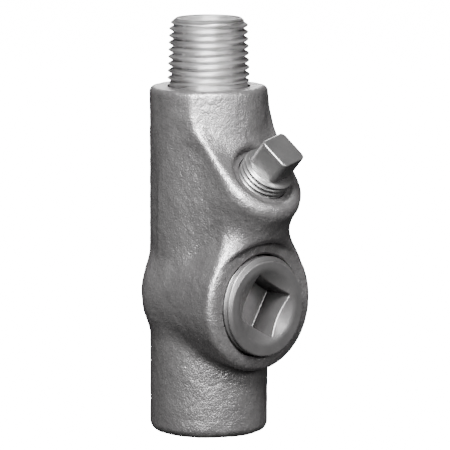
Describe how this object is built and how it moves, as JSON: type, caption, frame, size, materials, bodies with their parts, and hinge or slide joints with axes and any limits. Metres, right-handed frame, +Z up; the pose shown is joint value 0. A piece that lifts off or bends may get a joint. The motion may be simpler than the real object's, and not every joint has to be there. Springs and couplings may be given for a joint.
{
  "type": "conduit sealing fitting",
  "caption": "Upright cast fitting for electrical conduit, with a tapped hub below, a male nipple above, a screwed closure plug and an angled filling plug.",
  "frame": {"origin": "centre of the lower hub's mouth, on the conduit axis", "axes": "+Z up the conduit axis towards the male nipple, -Y out of the closure port, +X to the right when the closure port is faced"},
  "size_m": [0.0356, 0.0475, 0.1075],
  "materials": {
    "cast_body": "aluminium lacquer over a sand-cast skin",
    "plated_steel": "zinc plated, turned",
    "closure_iron": "plated, smooth cast",
    "filler_steel": "plated, forged"
  },
  "bodies": {
    "body": {"casting": "cast_body", "nipple": "plated_steel"},
    "closure": {"closure_plug": "closure_iron"},
    "filler": {"filler_plug": "filler_steel"}
  },
  "joints": [
    {"name": "closure_plug_turn", "type": "hinge", "parent": "body", "child": "closure", "pos_m": [0, -0.0208, 0.035], "axis": [0, -1, 0], "range_deg": [0, 2295]},
    {"name": "filler_plug_turn", "type": "hinge", "parent": "body", "child": "filler", "pos_m": [0, 0, 0.0475], "axis": [0, -0.7071, 0.7071], "range_deg": [0, 2295]}
  ]
}
